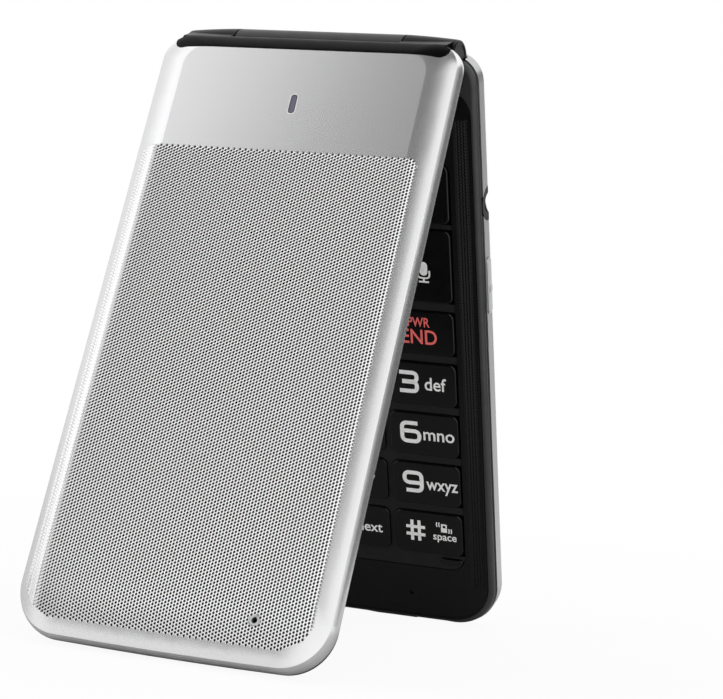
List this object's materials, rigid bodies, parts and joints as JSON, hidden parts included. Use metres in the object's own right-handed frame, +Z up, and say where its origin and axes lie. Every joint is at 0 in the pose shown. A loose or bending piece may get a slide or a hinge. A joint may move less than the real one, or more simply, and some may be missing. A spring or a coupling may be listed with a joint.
{
  "type": "flip phone",
  "caption": "Open clamshell telephone standing like a tent, with a knurled silver lid, a hinge barrel, a keypad, side controls and a pull-off back.",
  "frame": {"origin": "on the surface the open telephone stands on, midway between its sides and midway front to back", "axes": "+Z up, +X to the right across the halves along the hinge, +Y towards the back; the lid is in front and the keypad half behind, both leaning"},
  "size_m": [0.055, 0.0908, 0.1026],
  "materials": {
    "lid_silver": "silver paint over plastic, knurled field",
    "back_silver": "silver paint over plastic",
    "side_silver": "satin silver paint",
    "control_silver": "silver paint",
    "hinge_black": "glossy black",
    "cap_black": "glossy black",
    "frame_grey": "dark satin grey",
    "shell_grey": "dark satin grey",
    "bezel_black": "fine textured black",
    "key_black": "satin black with pale printed legends",
    "mat_black": "satin",
    "stop_black": "smooth",
    "window_glass": "polished",
    "camera_glass": "polished",
    "display_dark": "dark glossy panel",
    "led_clear": "smoked clear",
    "jack_black": "black",
    "usb_metal": "plated",
    "steel": "plain",
    "board_green": "solder mask",
    "battery_grey": "sleeved",
    "contact_gold": "plated contacts",
    "module_black": "moulded",
    "flex_amber": "film"
  },
  "bodies": {
    "base": {"base_front_shell": "shell_grey", "base_middle_shell": "side_silver", "keypad_bezel": "bezel_black", "keypad_mat": "mat_black", "key_domes": "steel", "main_board": "board_green", "headset_jack": "jack_black", "usb_port": "usb_metal", "battery": "battery_grey", "battery_contacts": "contact_gold", "sim_reader": "steel", "loudspeaker": "module_black", "microphone": "steel", "vibration_motor": "steel", "rear_camera": "module_black", "antenna": "contact_gold", "base_screws": "steel", "base_bumpers": "stop_black", "centre_knuckle": "hinge_black", "hinge_cartridge": "steel", "hinge_bush": "steel", "flex_coil": "flex_amber"},
    "lid": {"lid_cover": "lid_silver", "hinge_trim": "hinge_black", "hinge_end_caps": "cap_black", "hinge_pins": "steel", "lid_inner_frame": "frame_grey", "display_window": "window_glass", "display_panel": "display_dark", "earpiece_mesh": "steel", "earpiece": "module_black", "led_lens": "led_clear", "lid_magnet": "steel", "lid_screws": "steel", "lid_bumpers": "stop_black"},
    "back_cover": {"battery_cover": "back_silver", "camera_window": "camera_glass"},
    "rocker": {"volume_rocker": "control_silver"},
    "side_button": {"side_key": "control_silver"},
    "key_send": {"key_send": "key_black"},
    "key_clear": {"key_clear": "key_black"},
    "key_end": {"key_end": "key_black"},
    "key_1": {"key_1": "key_black"},
    "key_2": {"key_2": "key_black"},
    "key_3": {"key_3": "key_black"},
    "key_4": {"key_4": "key_black"},
    "key_5": {"key_5": "key_black"},
    "key_6": {"key_6": "key_black"},
    "key_7": {"key_7": "key_black"},
    "key_8": {"key_8": "key_black"},
    "key_9": {"key_9": "key_black"},
    "key_star": {"key_star": "key_black"},
    "key_0": {"key_0": "key_black"},
    "key_hash": {"key_hash": "key_black"},
    "key_soft_left": {"key_soft_left": "key_black"},
    "key_soft_right": {"key_soft_right": "key_black"},
    "key_camera": {"key_camera": "key_black"},
    "key_voice": {"key_voice": "key_black"},
    "nav_ring": {"nav_ring": "key_black"},
    "key_ok": {"key_ok": "key_black"}
  },
  "joints": [
    {"name": "lid_hinge", "type": "hinge", "parent": "base", "child": "lid", "pos_m": [0, -0.00093, 0.09828], "axis": [1, 0, 0], "range_deg": [-106.66, 43.34]},
    {"name": "back_cover_pull", "type": "slide", "parent": "base", "child": "back_cover", "axis": [0, 0.9293, 0.3693], "range_m": [0, 0.012]},
    {"name": "key_send_press", "type": "slide", "parent": "base", "child": "key_send", "axis": [0, 0.9293, 0.3693], "range_m": [0, 0.00035], "stiffness_N_per_m": 1500},
    {"name": "key_clear_press", "type": "slide", "parent": "base", "child": "key_clear", "axis": [0, 0.9293, 0.3693], "range_m": [0, 0.00035], "stiffness_N_per_m": 1500},
    {"name": "key_end_press", "type": "slide", "parent": "base", "child": "key_end", "axis": [0, 0.9293, 0.3693], "range_m": [0, 0.00035], "stiffness_N_per_m": 1500},
    {"name": "key_1_press", "type": "slide", "parent": "base", "child": "key_1", "axis": [0, 0.9293, 0.3693], "range_m": [0, 0.00035], "stiffness_N_per_m": 1500},
    {"name": "key_2_press", "type": "slide", "parent": "base", "child": "key_2", "axis": [0, 0.9293, 0.3693], "range_m": [0, 0.00035], "stiffness_N_per_m": 1500},
    {"name": "key_3_press", "type": "slide", "parent": "base", "child": "key_3", "axis": [0, 0.9293, 0.3693], "range_m": [0, 0.00035], "stiffness_N_per_m": 1500},
    {"name": "key_4_press", "type": "slide", "parent": "base", "child": "key_4", "axis": [0, 0.9293, 0.3693], "range_m": [0, 0.00035], "stiffness_N_per_m": 1500},
    {"name": "key_5_press", "type": "slide", "parent": "base", "child": "key_5", "axis": [0, 0.9293, 0.3693], "range_m": [0, 0.00035], "stiffness_N_per_m": 1500},
    {"name": "key_6_press", "type": "slide", "parent": "base", "child": "key_6", "axis": [0, 0.9293, 0.3693], "range_m": [0, 0.00035], "stiffness_N_per_m": 1500},
    {"name": "key_7_press", "type": "slide", "parent": "base", "child": "key_7", "axis": [0, 0.9293, 0.3693], "range_m": [0, 0.00035], "stiffness_N_per_m": 1500},
    {"name": "key_8_press", "type": "slide", "parent": "base", "child": "key_8", "axis": [0, 0.9293, 0.3693], "range_m": [0, 0.00035], "stiffness_N_per_m": 1500},
    {"name": "key_9_press", "type": "slide", "parent": "base", "child": "key_9", "axis": [0, 0.9293, 0.3693], "range_m": [0, 0.00035], "stiffness_N_per_m": 1500},
    {"name": "key_star_press", "type": "slide", "parent": "base", "child": "key_star", "axis": [0, 0.9293, 0.3693], "range_m": [0, 0.00035], "stiffness_N_per_m": 1500},
    {"name": "key_0_press", "type": "slide", "parent": "base", "child": "key_0", "axis": [0, 0.9293, 0.3693], "range_m": [0, 0.00035], "stiffness_N_per_m": 1500},
    {"name": "key_hash_press", "type": "slide", "parent": "base", "child": "key_hash", "axis": [0, 0.9293, 0.3693], "range_m": [0, 0.00035], "stiffness_N_per_m": 1500},
    {"name": "key_soft_left_press", "type": "slide", "parent": "base", "child": "key_soft_left", "axis": [0, 0.9293, 0.3693], "range_m": [0, 0.00035], "stiffness_N_per_m": 1500},
    {"name": "key_soft_right_press", "type": "slide", "parent": "base", "child": "key_soft_right", "axis": [0, 0.9293, 0.3693], "range_m": [0, 0.00035], "stiffness_N_per_m": 1500},
    {"name": "key_camera_press", "type": "slide", "parent": "base", "child": "key_camera", "axis": [0, 0.9293, 0.3693], "range_m": [0, 0.00035], "stiffness_N_per_m": 1500},
    {"name": "key_voice_press", "type": "slide", "parent": "base", "child": "key_voice", "axis": [0, 0.9293, 0.3693], "range_m": [0, 0.00035], "stiffness_N_per_m": 1500},
    {"name": "nav_ring_press", "type": "slide", "parent": "base", "child": "nav_ring", "axis": [0, 0.9293, 0.3693], "range_m": [0, 0.00035], "stiffness_N_per_m": 1500},
    {"name": "key_ok_press", "type": "slide", "parent": "base", "child": "key_ok", "axis": [0, 0.9293, 0.3693], "range_m": [0, 0.00035], "stiffness_N_per_m": 1500},
    {"name": "rocker_tilt", "type": "hinge", "parent": "base", "child": "rocker", "pos_m": [-0.0263, 0.01418, 0.06975], "axis": [0, 0.9293, 0.3693], "range_deg": [-1.8, 1.8], "stiffness_Nm_per_rad": 0.5},
    {"name": "side_button_press", "type": "slide", "parent": "base", "child": "side_button", "axis": [-1, 0, 0], "range_m": [0, 0.00035], "stiffness_N_per_m": 1500}
  ]
}
